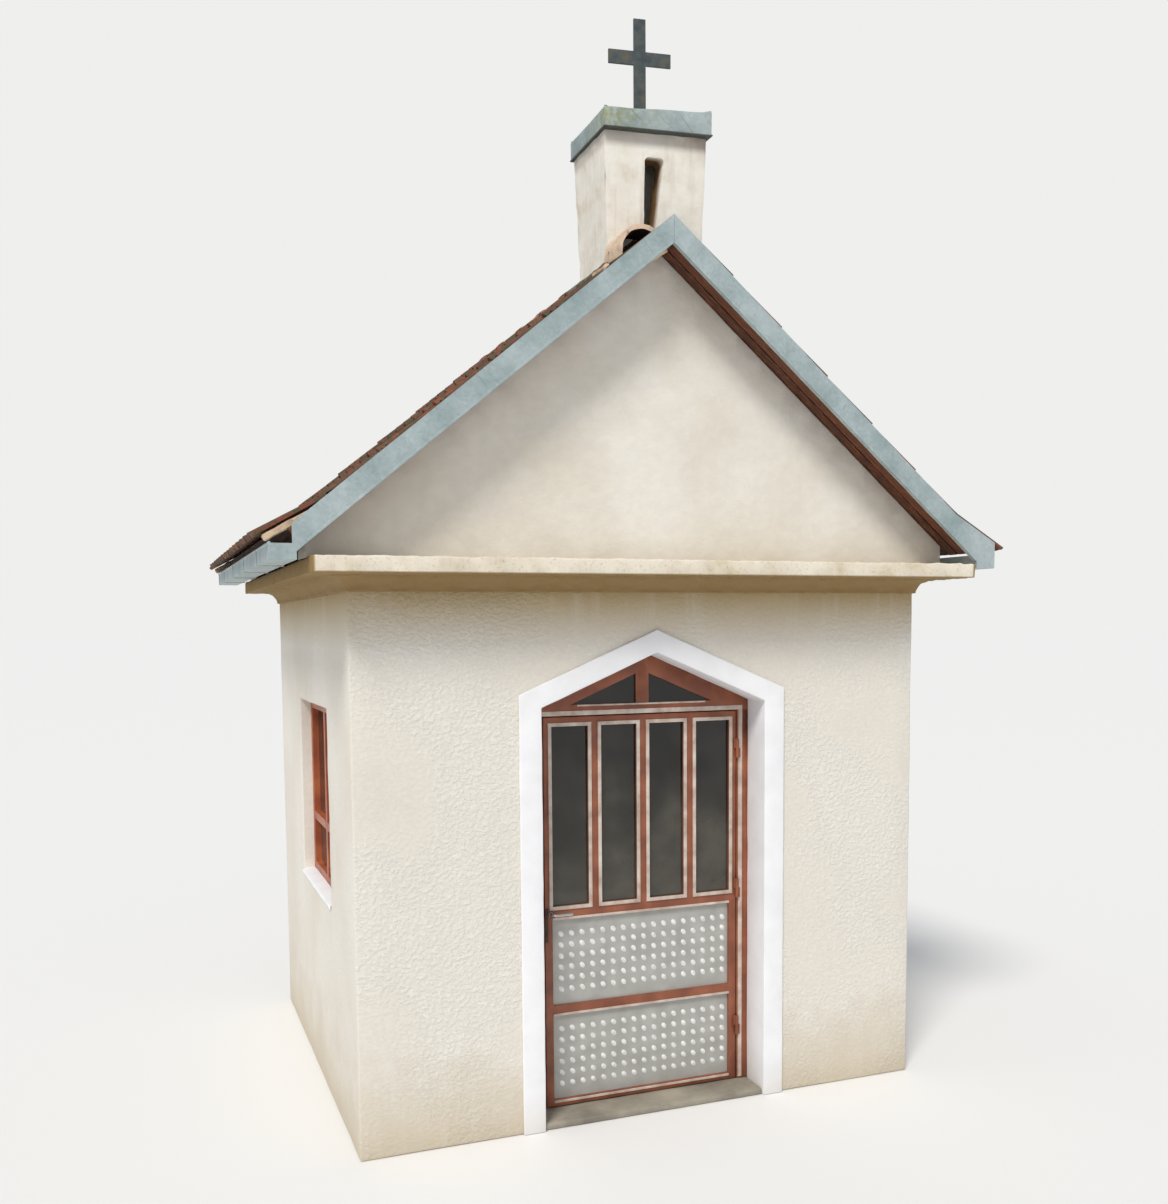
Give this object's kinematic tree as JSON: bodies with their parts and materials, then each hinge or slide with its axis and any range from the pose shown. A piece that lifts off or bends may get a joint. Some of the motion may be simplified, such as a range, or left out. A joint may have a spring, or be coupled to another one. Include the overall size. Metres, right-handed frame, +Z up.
{
  "type": "small chapel",
  "caption": "Small rendered roadside chapel with a tiled gable roof, a glazed steel door under a pointed head, side windows and a slotted ridge turret with a cross.",
  "frame": {"origin": "on the ground in the middle of the plan, at the foot of the walls", "axes": "+Z up; -Y is the front with the door; +X to the right seen from the front"},
  "size_m": [3.835, 3.1, 5.3699],
  "materials": {
    "wall_render": "roughcast lime-cement render, cream, damp-stained low down",
    "white_plaster": "smooth white painted plaster",
    "concrete": "limewashed concrete with a rough arris",
    "clay_tile": "weathered red-brown interlocking clay tile with moss",
    "roof_timber": "dark brown stained softwood",
    "galvanised_sheet": "dull galvanised sheet with pale bloom",
    "frame_paint": "red-brown enamel on welded steel",
    "window_glass": "clear float glass before a dark room",
    "panel_sheet": "grey sheet with pressed pale dots",
    "handle_metal": "satin",
    "lock_metal": "dark and matt",
    "cross_paint": "dark green-grey paint, matt with age"
  },
  "bodies": {
    "chapel": {"battens": "roof_timber", "cornice_slab": "concrete", "cross": "cross_paint", "door_posts": "frame_paint", "door_sill": "concrete", "door_surround": "white_plaster", "fanlight_frame": "frame_paint", "fanlight_glass": "window_glass", "floor": "concrete", "front_gable": "wall_render", "front_wall_left": "wall_render", "front_wall_over_door": "wall_render", "front_wall_right": "wall_render", "gutter_brackets": "galvanised_sheet", "gutter_left": "galvanised_sheet", "gutter_right": "galvanised_sheet", "hinge_pins": "frame_paint", "left_window_frame": "frame_paint", "rafters": "roof_timber", "rear_gable": "wall_render", "rear_wall": "wall_render", "ridge_beam": "roof_timber", "ridge_tiles": "clay_tile", "right_window_frame": "frame_paint", "roof_boards_left": "roof_timber", "roof_boards_right": "roof_timber", "side_wall_front_piers": "wall_render", "side_wall_rear_piers": "wall_render", "side_walls_below_windows": "wall_render", "side_walls_over_windows": "wall_render", "tiles_left": "clay_tile", "tiles_right": "clay_tile", "turret": "wall_render", "turret_cap": "galvanised_sheet", "verge_flashing_front": "galvanised_sheet", "verge_flashing_rear": "galvanised_sheet", "wall_plates": "roof_timber", "window_glass": "window_glass", "window_sills": "concrete"},
    "door": {"door_leaf": "frame_paint", "door_glass": "window_glass", "door_panels": "panel_sheet", "door_handle": "handle_metal", "lock_plate": "lock_metal", "hinge_knuckles": "frame_paint"}
  },
  "joints": [
    {"name": "front_door", "type": "hinge", "parent": "chapel", "child": "door", "pos_m": [0.535, -1.12, 0.039], "axis": [0, 0, 1], "range_deg": [0, 100]}
  ]
}
